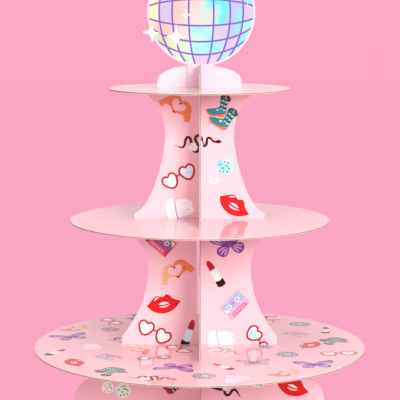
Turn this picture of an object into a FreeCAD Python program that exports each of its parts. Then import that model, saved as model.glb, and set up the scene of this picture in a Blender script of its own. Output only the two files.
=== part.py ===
import FreeCAD, Part
import os

# A three-tier flat-pack cake stand of laminated board, in millimetres.
# Three round plates stand on three cross-shaped supports. Each support is two flat panels,
# half-slotted into each other, and a flat card in the shape of a mirror ball stands on top.
# Origin: the middle of the stand, where it stands on the table. +Z up, the ball card faces -Y.

BOARD = 1.5                 # thickness of every panel, plate and card
PLAY = 0.25                 # gap on each side of a board in a slot it fits
LEAN_GAP = 0.05             # gap on the side of a loose slot that a board leans against
BITE = 0.1                  # gap past the end of a tab in its notch
OVERCUT = 1.0               # how far a cutting or joining shape runs past the face it crosses
THROUGH = 3 * BOARD         # depth of a cut that goes right through a board

BASE_HEIGHT = 90.0          # table to the underside of the bottom plate
MIDDLE_HEIGHT = 114.5       # bottom plate to the underside of the middle plate
TOP_HEIGHT = 116.5          # middle plate to the underside of the top plate

BOTTOM_RADIUS = 150.0
MIDDLE_RADIUS = 116.5
TOP_RADIUS = 81.0

# The panels that run front to back stand a little right of the middle. In the middle support
# the panel leans against the right side of a slot much wider than the board.
CROSS_X = 0.65
LOOSE_SLOT = 4.0
SLOT_RIGHT = CROSS_X + BOARD / 2 + LEAN_GAP
SNUG_LEFT = CROSS_X - BOARD / 2 - PLAY

# Where each support's two half slots meet, above the foot of its panels.
BASE_SLOT_FLOOR = 45.0
MIDDLE_SLOT_FLOOR = 27.6
TOP_SLOT_FLOOR = 58.0

# The base panel: half its width, its straight side and the radius of its shoulder.
BASE_HALF = 114.3
BASE_SIDE = 39.5
BASE_SHOULDER = 21.0

# The waisted panels: half widths at the foot, the waist and the shoulder, the height of the
# upright edge at the foot and of the waist, and the reach of the handles of the two side curves.
MIDDLE_OUTLINE = dict(
    foot=70.7,
    foot_edge=7.8,
    foot_pull=(10.7, 13.1),
    waist=46.6,
    waist_z=70.5,
    low_pull=28.4,
    up_pull=24.4,
    shoulder=72.0,
    shoulder_pull=(9.6, 15.5),
)
TOP_OUTLINE = dict(
    foot=58.7,
    foot_edge=5.5,
    foot_pull=(16.0, 3.5),
    waist=30.9,
    waist_z=75.0,
    low_pull=17.0,
    up_pull=27.4,
    shoulder=50.8,
    shoulder_pull=(4.1, 5.9),
)

BASE_PLATE_Z = BASE_HEIGHT
BASE_TOP_Z = BASE_PLATE_Z + BOARD
MIDDLE_PLATE_Z = BASE_TOP_Z + MIDDLE_HEIGHT
MIDDLE_TOP_Z = MIDDLE_PLATE_Z + BOARD
TOP_PLATE_Z = MIDDLE_TOP_Z + TOP_HEIGHT
TOP_TOP_Z = TOP_PLATE_Z + BOARD

# Foot tabs go down through a plate into notches in the support below.
TAB_WIDTH = 20.0
TAB_DROP = 10.0             # how far a tab reaches below the plate
MIDDLE_TAB_X = 48.0         # tab centre from the middle of the stand
TOP_TAB_X = 34.0

# Dome tabs on the top support stand up through the top plate.
DOME_HALF = 37.5
DOME_SIDE = 6.5             # straight side above the plate
DOME_RISE = 14.0            # height of the half ellipse above its straight sides

# The mirror-ball card.
BALL_RADIUS = 48.1
BALL_RISE = 67.3            # centre of the ball above the top plate
BALL_X = 1.5                # the ball stands a little right of its stem
STEM_X = 0.7
STEM_WIDTH = 23.0
STEM_GAP = 0.3              # from the stem to the panel behind it
LAP = 10.5                  # depth of the half lap between the stem and the dome
CARD_Y = -BOARD - STEM_GAP  # middle of the card, just in front of the panels that run across
SPARKLE_TIP = 1.3           # radius of a sparkle's round tips
SPARKLE_HOLLOW = 0.33       # how far out the middle of a hollow side lies, as a share of the tips

# A sparkle that sticks out of the ball: centre from the ball's centre, half width and half height.
SPARKLES = [(-43.3, -17.8, 7.6, 7.2), (40.6, 17.5, 8.6, 12.8)]

os.makedirs("parts", exist_ok=True)


def at(x, z):
    """A point of a panel outline, which is drawn in the XZ plane."""
    return FreeCAD.Vector(x, 0, z)


def line(start, end):
    return Part.LineSegment(at(*start), at(*end)).toShape()


def curve(*points):
    """A cubic curve that starts and ends on the first and last of four points."""
    bezier = Part.BezierCurve()
    bezier.setPoles([at(*point) for point in points])
    return bezier.toShape()


def arc(start, through, end):
    return Part.Arc(at(*start), at(*through), at(*end)).toShape()


def board_from(edges):
    """A board of the outline's shape, centred on the XZ plane."""
    wire = Part.Wire(Part.__sortEdges__(edges))
    board = Part.Face(wire).extrude(FreeCAD.Vector(0, BOARD, 0))
    board.translate(FreeCAD.Vector(0, -BOARD / 2, 0))
    return board


def symmetric_board(right_edges, height, foot, shoulder):
    """A board whose right side is given, closed by its mirror image and by a flat top and bottom."""
    left_edges = [edge.mirror(FreeCAD.Vector(), FreeCAD.Vector(1, 0, 0)) for edge in right_edges]
    flats = [line((-foot, 0), (foot, 0)), line((-shoulder, height), (shoulder, height))]
    return board_from(right_edges + left_edges + flats)


def block(low_x, high_x, low_z, high_z):
    """A board-thick rectangle, for tabs."""
    box = Part.makeBox(high_x - low_x, BOARD, high_z - low_z)
    box.translate(FreeCAD.Vector(low_x, -BOARD / 2, low_z))
    return box


def gap(low_x, high_x, low_z, high_z):
    """A rectangle deeper than the board, for slots and notches."""
    box = Part.makeBox(high_x - low_x, THROUGH, high_z - low_z)
    box.translate(FreeCAD.Vector(low_x, -THROUGH / 2, low_z))
    return box


def waisted_board(
    height, foot, foot_edge, foot_pull, waist, waist_z, low_pull, up_pull, shoulder, shoulder_pull
):
    """A support panel: a short upright edge at the foot, a long hollow sweep in to the waist,
    and a shorter flare out to the plate above. The pulls are the curves' handles."""
    right = [
        line((foot, 0), (foot, foot_edge)),
        curve(
            (foot, foot_edge),
            (foot - foot_pull[0], foot_edge + foot_pull[1]),
            (waist, waist_z - low_pull),
            (waist, waist_z),
        ),
        curve(
            (waist, waist_z),
            (waist, waist_z + up_pull),
            (shoulder - shoulder_pull[0], height - shoulder_pull[1]),
            (shoulder, height),
        ),
    ]
    return symmetric_board(right, height, foot, shoulder)


def base_board():
    """A base panel: straight sides, a round shoulder, and a half-round neck under the plate."""
    shelf = BASE_SIDE + BASE_SHOULDER
    inner = BASE_HALF - BASE_SHOULDER
    neck = (BASE_HEIGHT - shelf) / 2
    diagonal = BASE_SHOULDER * 0.5 ** 0.5
    right = [
        line((BASE_HALF, 0), (BASE_HALF, BASE_SIDE)),
        arc((BASE_HALF, BASE_SIDE), (inner + diagonal, BASE_SIDE + diagonal), (inner, shelf)),
        arc((inner, shelf), (inner - neck, shelf + neck), (inner, BASE_HEIGHT)),
    ]
    return symmetric_board(right, BASE_HEIGHT, BASE_HALF, inner)


def middle_board():
    return waisted_board(MIDDLE_HEIGHT, **MIDDLE_OUTLINE)


def top_board():
    """The top support's panel, with its dome standing up through the top plate."""
    return waisted_board(TOP_HEIGHT, **TOP_OUTLINE).fuse(dome()).removeSplitter()


def dome():
    """A half ellipse on straight sides, which start within the panel that it is part of."""
    root = TOP_HEIGHT - OVERCUT
    side_top = TOP_HEIGHT + BOARD + DOME_SIDE
    ellipse = Part.Ellipse(at(0, side_top), DOME_HALF, DOME_RISE)
    ellipse.rotate(FreeCAD.Placement(at(0, side_top), FreeCAD.Rotation(FreeCAD.Vector(1, 0, 0), 90)))
    first = ellipse.parameter(at(DOME_HALF, side_top))
    last = ellipse.parameter(at(-DOME_HALF, side_top))
    crown = Part.ArcOfEllipse(ellipse, min(first, last), max(first, last))
    sides = [
        line((DOME_HALF, root), (DOME_HALF, side_top)),
        line((-DOME_HALF, root), (-DOME_HALF, side_top)),
        line((-DOME_HALF, root), (DOME_HALF, root)),
    ]
    return board_from([crown.toShape()] + sides)


def with_tabs(board, centre):
    """Adds the two foot tabs that lock a support through the plate it stands on."""
    half = TAB_WIDTH / 2
    for middle in (-centre, centre):
        board = board.fuse(block(middle - half, middle + half, -BOARD - TAB_DROP, OVERCUT))
    return board.removeSplitter()


def with_notches(board, height, centre):
    """Cuts the notches that take the foot tabs of the support above."""
    reach = TAB_WIDTH / 2 + PLAY
    for middle in (-centre, centre):
        notch = gap(middle - reach, middle + reach, height - TAB_DROP - BITE, height + OVERCUT)
        board = board.cut(notch)
    return board


def slot_from_top(board, floor, top, left):
    """The slot of a panel that runs across, from its top edge down to the slot's floor."""
    return board.cut(gap(left, SLOT_RIGHT, floor, top + OVERCUT))


def slot_from_bottom(board, ceiling):
    """The slot of a front-to-back panel, which straddles the panel that runs across."""
    reach = BOARD / 2 + PLAY
    return board.cut(gap(-reach, reach, -OVERCUT, ceiling))


def front_to_back(board, height):
    """Turns a board square to the panels that run across and sets it at its place beside the slot."""
    board.rotate(FreeCAD.Vector(), FreeCAD.Vector(0, 0, 1), 90)
    board.translate(FreeCAD.Vector(CROSS_X, 0, height))
    return board


def raised(board, height):
    board.translate(FreeCAD.Vector(0, 0, height))
    return board


def base_panels():
    across = with_notches(base_board(), BASE_HEIGHT, MIDDLE_TAB_X)
    across = slot_from_top(across, BASE_SLOT_FLOOR, BASE_HEIGHT, SNUG_LEFT)
    along = with_notches(base_board(), BASE_HEIGHT, MIDDLE_TAB_X)
    along = slot_from_bottom(along, BASE_SLOT_FLOOR)
    return across, front_to_back(along, 0)


def middle_panels():
    across = with_tabs(with_notches(middle_board(), MIDDLE_HEIGHT, TOP_TAB_X), MIDDLE_TAB_X)
    across = slot_from_top(across, MIDDLE_SLOT_FLOOR, MIDDLE_HEIGHT, SLOT_RIGHT - LOOSE_SLOT)
    along = with_tabs(with_notches(middle_board(), MIDDLE_HEIGHT, TOP_TAB_X), MIDDLE_TAB_X)
    along = slot_from_bottom(along, MIDDLE_SLOT_FLOOR)
    return raised(across, BASE_TOP_Z), front_to_back(along, BASE_TOP_Z)


def top_panels():
    apex = TOP_HEIGHT + BOARD + DOME_SIDE + DOME_RISE
    across = with_tabs(top_board(), TOP_TAB_X)
    across = slot_from_top(across, TOP_SLOT_FLOOR, apex, SNUG_LEFT)
    along = with_tabs(top_board(), TOP_TAB_X)
    along = slot_from_bottom(along, TOP_SLOT_FLOOR)
    along = front_to_back(raised(along, MIDDLE_TOP_Z), 0)
    reach = BOARD / 2 + PLAY
    lap = Part.makeBox(THROUGH, 2 * reach, LAP + OVERCUT)
    lap.translate(FreeCAD.Vector(CROSS_X - THROUGH / 2, CARD_Y - reach, MIDDLE_TOP_Z + apex - LAP))
    return raised(across, MIDDLE_TOP_Z), along.cut(lap)


def plate(radius, underside, openings):
    """A round plate with a slit for each tab or dome that passes through it."""
    disc = Part.makeCylinder(radius, BOARD, FreeCAD.Vector(0, 0, underside))
    for centre_x, centre_y, length_x, length_y in openings:
        slit = Part.makeBox(length_x, length_y, THROUGH)
        corner = FreeCAD.Vector(centre_x - length_x / 2, centre_y - length_y / 2, underside - BOARD)
        slit.translate(corner)
        disc = disc.cut(slit)
    return disc


def slits(reach, half):
    """Slits for the tabs of both panels of a support: centre x, centre y, length in x, length in y."""
    width = BOARD + 2 * PLAY
    length = 2 * (half + PLAY)
    found = []
    for side in sorted({-reach, reach}):
        found.append((side, 0, length, width))
        found.append((CROSS_X, side, width, length))
    return found


def sparkle(centre_x, centre_z, half_width, half_height):
    """A four-pointed sparkle with hollow sides and round tips."""
    tip = SPARKLE_TIP
    inner_x = (half_width + tip) * SPARKLE_HOLLOW
    inner_z = (half_height + tip) * SPARKLE_HOLLOW
    edges = []
    for side in (1, -1):
        for rise in (1, -1):
            path = [(half_width, tip), (inner_x, inner_z), (tip, half_height)]
            edges.append(arc(*[(centre_x + side * x, centre_z + rise * z) for x, z in path]))
        end_x = centre_x + side * half_width
        end_z = centre_z + side * half_height
        edges.append(arc((end_x, centre_z - tip), (end_x + side * tip, centre_z), (end_x, centre_z + tip)))
        edges.append(arc((centre_x - tip, end_z), (centre_x, end_z + side * tip), (centre_x + tip, end_z)))
    return board_from(edges)


def topper():
    """The mirror-ball card: a disc with sparkles at its edge, on a slotted stem."""
    centre_z = TOP_TOP_Z + BALL_RISE
    rim = Part.Circle(at(BALL_X, centre_z), FreeCAD.Vector(0, 1, 0), BALL_RADIUS)
    card = board_from([rim.toShape()])
    for offset_x, offset_z, half_width, half_height in SPARKLES:
        card = card.fuse(sparkle(BALL_X + offset_x, centre_z + offset_z, half_width, half_height))
    half_stem = STEM_WIDTH / 2
    card = card.fuse(block(STEM_X - half_stem, STEM_X + half_stem, TOP_TOP_Z, centre_z))
    card = card.removeSplitter()
    reach = BOARD / 2 + PLAY
    slot_top = TOP_TOP_Z + DOME_SIDE + DOME_RISE - LAP
    card = card.cut(gap(CROSS_X - reach, CROSS_X + reach, TOP_TOP_Z - OVERCUT, slot_top))
    card.translate(FreeCAD.Vector(0, CARD_Y, 0))
    return card


base_across, base_along = base_panels()
middle_across, middle_along = middle_panels()
top_across, top_along = top_panels()

pieces = {
    "base_panel_across": base_across,
    "base_panel_front_back": base_along,
    "bottom_plate": plate(BOTTOM_RADIUS, BASE_PLATE_Z, slits(MIDDLE_TAB_X, TAB_WIDTH / 2)),
    "middle_panel_across": middle_across,
    "middle_panel_front_back": middle_along,
    "middle_plate": plate(MIDDLE_RADIUS, MIDDLE_PLATE_Z, slits(TOP_TAB_X, TAB_WIDTH / 2)),
    "top_panel_across": top_across,
    "top_panel_front_back": top_along,
    "top_plate": plate(TOP_RADIUS, TOP_PLATE_Z, slits(0, DOME_HALF)),
    "topper": topper(),
}

for name, shape in pieces.items():
    solids = shape.Solids
    print(name, len(solids), "solid", shape.isValid(), round(shape.Volume), shape.BoundBox)
    solids[0].exportStep(f"parts/{name}.step")
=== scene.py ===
import math
import random

import bmesh
import bpy
from mathutils import Matrix, Vector
from mathutils.bvhtree import BVHTree


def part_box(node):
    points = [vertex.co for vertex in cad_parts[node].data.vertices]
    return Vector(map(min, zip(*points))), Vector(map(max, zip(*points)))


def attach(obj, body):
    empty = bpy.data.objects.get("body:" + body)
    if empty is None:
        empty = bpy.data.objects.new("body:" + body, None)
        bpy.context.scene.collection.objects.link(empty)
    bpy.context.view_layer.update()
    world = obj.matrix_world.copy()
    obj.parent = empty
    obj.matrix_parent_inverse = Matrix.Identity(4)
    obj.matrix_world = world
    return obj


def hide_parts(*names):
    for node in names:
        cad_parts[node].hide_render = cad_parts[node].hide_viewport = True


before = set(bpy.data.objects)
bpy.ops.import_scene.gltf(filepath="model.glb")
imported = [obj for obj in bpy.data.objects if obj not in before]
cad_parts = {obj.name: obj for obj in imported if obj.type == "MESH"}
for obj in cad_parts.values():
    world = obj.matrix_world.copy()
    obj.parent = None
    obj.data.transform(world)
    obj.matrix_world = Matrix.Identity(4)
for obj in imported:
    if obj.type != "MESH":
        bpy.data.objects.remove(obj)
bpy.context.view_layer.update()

# ---- Base support ----
# Two wide panels of 1.5 mm grey board stand crossed on the table. A white liner, a pale pink
# print and a gloss film are laminated to both faces, and the die leaves the bare board in view
# along every cut edge. The front-to-back panel drops into the slot of the other.
MM = 0.001
MERGE = 0.001 * MM
EDGE_EASE = 0.12 * MM       # how far the die rounds a printed face over the cut edge
FLAT = math.radians(0.5)    # faces turned less than this from each other are one face
CORNER = math.radians(35)   # an edge sharper than this stays crisp
FACE_ON = 0.99              # a flat face's normal has at least this much of the thin axis


def display(red, green, blue):
    """A colour as it looks in daylight, from 0 to 255, as the linear colour a shader takes."""
    parts = [value / 255 for value in (red, green, blue)]
    linear = [part / 12.92 if part < 0.04 else ((part + 0.055) / 1.055) ** 2.4 for part in parts]
    return (*linear, 1.0)


def new_finish(name, roughness, coat):
    """A material with its tree, its shader and the piece's own coordinates."""
    material = bpy.data.materials.new(name)
    material.use_nodes = True
    tree = material.node_tree
    shader = tree.nodes["Principled BSDF"]
    shader.inputs["Roughness"].default_value = roughness
    shader.inputs["Specular IOR Level"].default_value = 0.0 if coat else 0.5
    shader.inputs["Coat Weight"].default_value = coat
    shader.inputs["Coat Roughness"].default_value = 0.1
    place = tree.nodes.new("ShaderNodeTexCoord").outputs["Object"]
    return material, tree, shader, place


def mottle(tree, place, size, detail=2.0):
    """A soft random pattern whose patches are about this size, in metres."""
    pattern = tree.nodes.new("ShaderNodeTexNoise")
    pattern.inputs["Scale"].default_value = 1 / size
    pattern.inputs["Detail"].default_value = detail
    tree.links.new(place, pattern.inputs["Vector"])
    return pattern.outputs["Fac"]


def colours_along(tree, value, stops):
    """Colours that follow a value: each stop is its place from 0 to 1 and a colour."""
    band = tree.nodes.new("ShaderNodeValToRGB")
    keys = band.color_ramp.elements
    keys[0].position, keys[0].color = stops[0]
    keys[1].position, keys[1].color = stops[-1]
    for spot, colour in stops[1:-1]:
        keys.new(spot).color = colour
    tree.links.new(value, band.inputs["Fac"])
    return band.outputs["Color"]


def spread_between(tree, value, low, high, first=0.3, last=0.7):
    """The value's range from first to last, made to run from low to high instead."""
    stretch = tree.nodes.new("ShaderNodeMapRange")
    stretch.inputs["From Min"].default_value = first
    stretch.inputs["From Max"].default_value = last
    stretch.inputs["To Min"].default_value = low
    stretch.inputs["To Max"].default_value = high
    tree.links.new(value, stretch.inputs["Value"])
    return stretch.outputs["Result"]


def add_relief(tree, shader, height, depth):
    """Fine surface relief, with its depth in metres."""
    relief = tree.nodes.new("ShaderNodeBump")
    relief.inputs["Distance"].default_value = depth
    relief.inputs["Strength"].default_value = 0.5
    tree.links.new(height, relief.inputs["Height"])
    tree.links.new(relief.outputs["Normal"], shader.inputs["Normal"])


def printed_sheet(name, light, deep):
    """Pink print under a gloss film, with the faint cloudiness and tooth of coated paper."""
    material, tree, shader, place = new_finish(name, 0.32, 1.0)
    cloud = mottle(tree, place, 30 * MM)
    tree.links.new(colours_along(tree, cloud, [(0.3, deep), (0.7, light)]), shader.inputs["Base Color"])
    smear = mottle(tree, place, 9 * MM)
    tree.links.new(spread_between(tree, smear, 0.26, 0.38), shader.inputs["Roughness"])
    add_relief(tree, shader, mottle(tree, place, 0.9 * MM, 3.0), 0.004 * MM)
    return material


def arithmetic(tree, operation, *values):
    """One step of arithmetic in a material: each value is a number or another node's result."""
    step = tree.nodes.new("ShaderNodeMath")
    step.operation = operation
    for socket, value in zip(step.inputs, values):
        if isinstance(value, float):
            socket.default_value = value
        else:
            tree.links.new(value, socket)
    return step.outputs["Value"]


def cut_edge(name, axis, centre, half):
    """The bare edge of laminated board: white liners each side of a grey, fibrous core."""
    material, tree, shader, place = new_finish(name, 0.85, 0.0)
    split = tree.nodes.new("ShaderNodeSeparateXYZ")
    tree.links.new(place, split.inputs["Vector"])
    from_middle = arithmetic(tree, "SUBTRACT", split.outputs[axis], centre)
    depth = arithmetic(tree, "ABSOLUTE", from_middle)
    share = arithmetic(tree, "DIVIDE", depth, half)
    fibre = spread_between(tree, mottle(tree, place, 0.6 * MM, 4.0), -0.14, 0.14)
    ragged = arithmetic(tree, "ADD", share, fibre)
    stops = [
        (0.0, display(134, 126, 102)),
        (0.5, display(164, 156, 130)),
        (0.68, display(240, 234, 224)),
        (1.0, display(250, 242, 238)),
    ]
    tree.links.new(colours_along(tree, ragged, stops), shader.inputs["Base Color"])
    add_relief(tree, shader, mottle(tree, place, 0.25 * MM, 5.0), 0.06 * MM)
    return material


def as_mesh(name, form):
    """A finished form as a mesh."""
    mesh = bpy.data.meshes.new(name)
    form.to_mesh(mesh)
    form.free()
    return mesh


def in_scene(name, data):
    """A new object in the scene, made of a mesh, a lamp or a camera."""
    item = bpy.data.objects.new(name, data)
    bpy.context.scene.collection.objects.link(item)
    return item


def make_piece(name, form, materials, body):
    """Turns a finished form into a piece that moves with a body."""
    mesh = as_mesh(name, form)
    for material in materials:
        mesh.materials.append(material)
    piece = in_scene(name, mesh)
    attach(piece, body)
    return piece


def thickness_axis(node):
    """The axis along which a board is thinnest."""
    low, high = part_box(node)
    return min(range(3), key=lambda axis: high[axis] - low[axis])


def laminated_board(node, sheet):
    """A board with printed faces, bare cut edges, and the slight rounding a die gives its rims."""
    form = bmesh.new()
    form.from_mesh(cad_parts[node].data)
    bmesh.ops.remove_doubles(form, verts=form.verts, dist=MERGE)
    bmesh.ops.dissolve_limit(form, angle_limit=FLAT, verts=form.verts, edges=form.edges)
    thin = thickness_axis(node)
    for face in form.faces:
        face.material_index = 0 if abs(face.normal[thin]) > FACE_ON else 1
    rims = [
        edge
        for edge in form.edges
        if len({face.material_index for face in edge.link_faces}) == 2
    ]
    bmesh.ops.bevel(
        form, geom=rims, offset=EDGE_EASE, offset_type="OFFSET", affect="EDGES",
        segments=2, profile=0.5, material=-1, clamp_overlap=True,
    )
    for face in form.faces:
        face.material_index = 0 if abs(face.normal[thin]) > 0.5 else 1
        face.smooth = abs(face.normal[thin]) < FACE_ON
    for edge in form.edges:
        edge.smooth = edge.is_manifold and edge.calc_face_angle() < CORNER
    low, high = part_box(node)
    centre = (low[thin] + high[thin]) / 2
    edges = cut_edge(node + "_cut_edge", thin, centre, (high[thin] - low[thin]) / 2)
    piece = make_piece(node + "_board", form, [sheet, edges], node)
    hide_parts(node)


PINK_SHEET = printed_sheet("pink_print", display(251, 219, 224), display(249, 215, 221))

laminated_board("base_panel_across", PINK_SHEET)
laminated_board("base_panel_front_back", PINK_SHEET)

# ---- Printed and foiled motifs ----
# Small party drawings are printed on the laminate in spot inks, with holographic foil for the
# shiny parts. Each layer of ink or foil stands a few hundredths of a millimetre proud of the
# board. They are drawn here once, in millimetres, and stamped on the boards further down.
INK_STEP = 0.03             # height of one layer of ink or foil
SINK = 0.08                 # how far a layer's underside lies within the board
STROKE_CROWN = 2.0          # how much higher the middle of a line stands than a filled shape
INK_WEAR = 0.93             # how bright an ink's darker spots are beside the rest of it
FOIL_PAINTED_GLOW = 0.16           # how brightly a foil glows in its own colours: a painted glow that keeps it bright in shade
WELD = 0.0005               # drawn points nearer than this are one
ink_stock = []


def stock(material):
    """Puts an ink on the shelf and returns its number."""
    ink_stock.append(material)
    return len(ink_stock) - 1


def spot_ink(name, *tone):
    """A flat spot colour, a little uneven as printed solids are, under the gloss film."""
    material, tree, shader, place = new_finish(name, 0.4, 0.95)
    light = display(*tone)
    deep = display(*[value * INK_WEAR for value in tone])
    grain = mottle(tree, place, 2.5 * MM, 3.0)
    printed = colours_along(tree, grain, [(0.35, deep), (0.65, light)])
    tree.links.new(printed, shader.inputs["Base Color"])
    add_relief(tree, shader, mottle(tree, place, 0.5 * MM, 3.0), 0.003 * MM)
    return stock(material)


def holographic_foil(name, tones, patch_size):
    """Rainbow foil: pastel bands that wander over the surface, with a metal gloss.
    It also glows faintly in the same colours: painted light that keeps it bright in shade too."""
    material, tree, shader, place = new_finish(name, 0.22, 1.0)
    shader.inputs["Metallic"].default_value = 0.1
    # Painted glow: the foil emits light in its own colours, so it looks lit even where it lies in
    # shade.
    shader.inputs["Emission Strength"].default_value = FOIL_PAINTED_GLOW
    drift = mottle(tree, place, patch_size, 1.0)
    step = 0.5 / (len(tones) - 1)
    stops = [(0.25 + step * order, display(*tone)) for order, tone in enumerate(tones)]
    rainbow = colours_along(tree, drift, stops)
    tree.links.new(rainbow, shader.inputs["Base Color"])
    tree.links.new(rainbow, shader.inputs["Emission Color"])
    sheen = mottle(tree, place, 1.2 * MM, 2.0)
    tree.links.new(spread_between(tree, sheen, 0.16, 0.3), shader.inputs["Roughness"])
    return stock(material)


LIP_RED = spot_ink("lip_red", 232, 14, 20)
FRAME_RED = spot_ink("frame_red", 200, 10, 38)
NAIL_RED = spot_ink("nail_red", 176, 12, 40)
WHITE = spot_ink("white_ink", 255, 253, 254)
PALE_GREY = spot_ink("pale_grey", 226, 226, 232)
ORANGE = spot_ink("orange_skin", 246, 154, 96)
TAN = spot_ink("tan_skin", 248, 202, 150)
MAROON = spot_ink("snake_maroon", 62, 16, 28)
MAROON_LIGHT = spot_ink("snake_mark", 120, 66, 78)
TEAL = spot_ink("boot_teal", 56, 160, 158)
DARK_TEAL = spot_ink("far_boot_cuff", 18, 52, 58)
MID_TEAL = spot_ink("near_boot_cuff", 22, 112, 114)
SOLE_ORANGE = spot_ink("sole_orange", 240, 140, 92)
BLACK = spot_ink("black_ink", 28, 8, 8)
MAGENTA = spot_ink("cassette_magenta", 226, 52, 112)
SLATE_BLUE = spot_ink("cassette_slate", 112, 130, 186)
PALE_PINK = spot_ink("cassette_pink", 250, 190, 214)
HOT_PINK = spot_ink("hot_pink", 246, 132, 178)
SKY = spot_ink("label_blue", 164, 212, 246)
PURPLE = spot_ink("butterfly_purple", 140, 70, 168)
LILAC = spot_ink("butterfly_lilac", 212, 190, 238)
GREY_BLUE = spot_ink("ball_grey", 156, 160, 166)
PIP_BROWN = spot_ink("pip_brown", 120, 92, 84)
CYAN_TONES = [(196, 190, 240), (120, 236, 238), (206, 242, 244), (96, 224, 240)]
WARM_TONES = [(244, 206, 232), (244, 238, 200), (232, 206, 246), (242, 222, 222)]
MINT_TONES = [(164, 246, 222), (226, 246, 206), (196, 240, 236), (246, 244, 218)]
PEARL_TONES = [(228, 214, 250), (244, 250, 252), (236, 250, 214), (226, 248, 250)]
WHITE_TONES = [(232, 240, 240), (246, 242, 246), (228, 244, 238), (240, 238, 248)]
SILVER_TONES = [(214, 222, 248), (226, 244, 250), (192, 242, 250), (234, 240, 250)]
CYAN_FOIL = holographic_foil("cyan_foil", CYAN_TONES, 7 * MM)
WARM_FOIL = holographic_foil("warm_foil", WARM_TONES, 6 * MM)
MINT_FOIL = holographic_foil("mint_foil", MINT_TONES, 8 * MM)
PEARL_FOIL = holographic_foil("pearl_foil", PEARL_TONES, 9 * MM)
WHITE_FOIL = holographic_foil("white_foil", WHITE_TONES, 10 * MM)
SILVER_FOIL = holographic_foil("silver_foil", SILVER_TONES, 8 * MM)


def lay_down(curve, ink, lift, flatten=1.0):
    """Turns a drawn curve into a closed layer of ink."""
    drawn = bpy.data.objects.new("drawn", curve)
    mesh = bpy.data.meshes.new_from_object(drawn)
    mesh.transform(Matrix.Translation((0, 0, lift)) @ Matrix.Diagonal((1, 1, flatten, 1)))
    mesh.polygons.foreach_set("material_index", [ink] * len(mesh.polygons))
    bpy.data.objects.remove(drawn)
    bpy.data.curves.remove(curve)
    return mesh


def drawn_spline(curve, points, closed):
    """A smooth line through the points. A point with a third figure is a sharp corner."""
    spline = curve.splines.new("BEZIER")
    spline.use_cyclic_u = closed
    spline.bezier_points.add(len(points) - 1)
    for knot, point in zip(spline.bezier_points, points):
        kind = "VECTOR" if len(point) > 2 else "AUTO"
        knot.handle_left_type = kind
        knot.handle_right_type = kind
    for knot, point in zip(spline.bezier_points, points):
        knot.co = (point[0], point[1], 0)
    return spline


def patch(ink, layer, outline):
    """A filled shape, flat on top."""
    curve = bpy.data.curves.new("patch", "CURVE")
    curve.dimensions = "2D"
    curve.fill_mode = "BOTH"
    curve.resolution_u = 4
    top = INK_STEP * layer
    curve.extrude = (top + SINK) / 2
    drawn_spline(curve, outline, True)
    return lay_down(curve, ink, (top - SINK) / 2)


def stroke(ink, layer, width, points, closed=False, widths=None):
    """A line of ink of one width, or of a share of that width at each point."""
    curve = bpy.data.curves.new("stroke", "CURVE")
    curve.dimensions = "3D"
    curve.resolution_u = 4
    curve.bevel_depth = width / 2
    curve.bevel_resolution = 1
    curve.use_fill_caps = True
    spline = drawn_spline(curve, points, closed)
    for knot, share in zip(spline.bezier_points, widths or []):
        knot.radius = share
    return lay_down(curve, ink, 0, STROKE_CROWN * INK_STEP * layer / (width / 2))


def motif(*layers):
    """One drawing, made of its layers of ink."""
    form = bmesh.new()
    for layer in layers:
        form.from_mesh(layer)
        bpy.data.meshes.remove(layer)
    bmesh.ops.remove_doubles(form, verts=form.verts, dist=WELD)
    bmesh.ops.dissolve_degenerate(form, edges=form.edges, dist=WELD)
    bmesh.ops.recalc_face_normals(form, faces=form.faces)
    return as_mesh("motif", form)


def moved(points, x=0.0, y=0.0, turn=0.0, size=1.0):
    """An outline scaled, turned and shifted. A point keeps its mark as a corner."""
    spin = Matrix.Rotation(math.radians(turn), 2)
    found = []
    for point in points:
        spot = spin @ Vector(point[:2]) * size
        found.append((spot.x + x, spot.y + y, *point[2:]))
    return found


def both_sides(half):
    """A symmetric outline from its right half, listed from the top down."""
    return half + [(-point[0], *point[1:]) for point in reversed(half) if point[0] > 0]


def disc(radius, x=0.0, y=0.0, flat=1.0, knots=4):
    """A round outline, or an oval one that is flatter by a share."""
    spots = [moved([(radius, 0)], turn=360 * order / knots)[0] for order in range(knots)]
    return [(x + across, y + up * flat) for across, up in spots]


def bar(low_x, low_y, high_x, high_y):
    """A rectangle's outline, from its lower left corner to its upper right one."""
    return [(low_x, low_y, 1), (high_x, low_y, 1), (high_x, high_y, 1), (low_x, high_y, 1)]


def lips(gleam):
    edge = [
        (-15.8, 0, 1), (-9.2, 6.0), (-5.0, 8.2), (-0.4, 6.5), (4.0, 8.4), (8.9, 3.9),
        (15.8, 0, 1), (9.7, -5.7), (3.0, -8.6), (-4.0, -8.6), (-10.8, -5.6),
    ]
    return motif(
        stroke(WHITE, 1, 1.8, edge, closed=True),
        patch(LIP_RED, 3, edge),
        patch(gleam, 4, [(-5.1, 0.2, 1), (0.4, 1.7), (4.8, -0.3, 1), (-0.4, -0.7)]),
        patch(WHITE, 4, [(-5.1, -2.0, 1), (0.6, -2.1), (6.4, -1.5, 1), (-1.0, -3.6)]),
        patch(WHITE, 4, [(-8.6, 3.9, 1), (-6.2, 6.5), (-3.0, 6.8, 1), (-5.9, 5.0)]),
    )


HEART = both_sides([(0, 4.3, 1), (3.3, 6.1), (6.6, 3.2), (5.2, -2.6), (2.3, -5.8), (0, -6.7)])


def sunglasses(first_foil, second_foil):
    layers = [stroke(FRAME_RED, 3, 1.4, [(-1.9, 0.9), (0, 1.6), (1.9, 0.9)])]
    for side, foil in ((-1, first_foil), (1, second_foil)):
        heart = moved(HEART, side * 8.6, 0, side * -7)
        layers.append(patch(WHITE, 1, heart))
        layers.append(patch(foil, 2, moved(HEART, side * 8.6, 0.1, side * -7, 0.74)))
        layers.append(stroke(FRAME_RED, 3, 1.9, heart, closed=True))
    return motif(*layers)


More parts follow.
